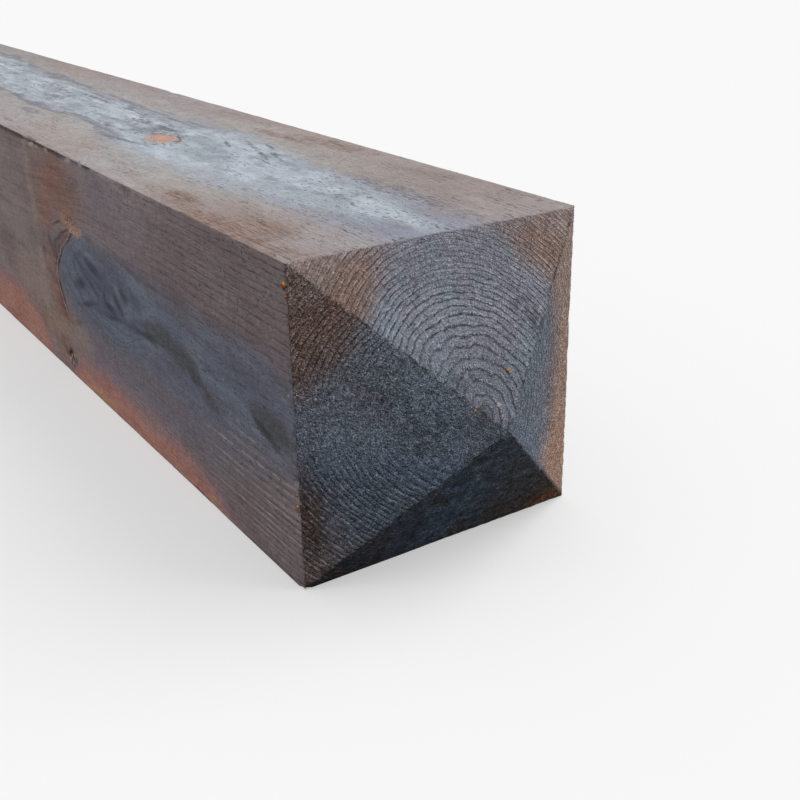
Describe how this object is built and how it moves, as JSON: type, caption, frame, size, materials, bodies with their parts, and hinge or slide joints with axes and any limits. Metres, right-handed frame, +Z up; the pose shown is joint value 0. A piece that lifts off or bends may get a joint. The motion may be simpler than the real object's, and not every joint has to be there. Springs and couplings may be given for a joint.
{
  "type": "creosoted gate post",
  "caption": "Square-sawn softwood post treated with creosote, with a four-way weathered top and a square-cut foot.",
  "frame": {"origin": "on the floor under the middle of the post, which lies on one long face", "axes": "+X along the post towards its weathered top, +Z up"},
  "size_m": [2.4, 0.2, 0.2],
  "materials": {
    "creosoted_softwood": "sawn, creosote-stained dark brown with a slate-grey heart"
  },
  "bodies": {
    "root": {"gate_post": "creosoted_softwood"}
  },
  "joints": []
}
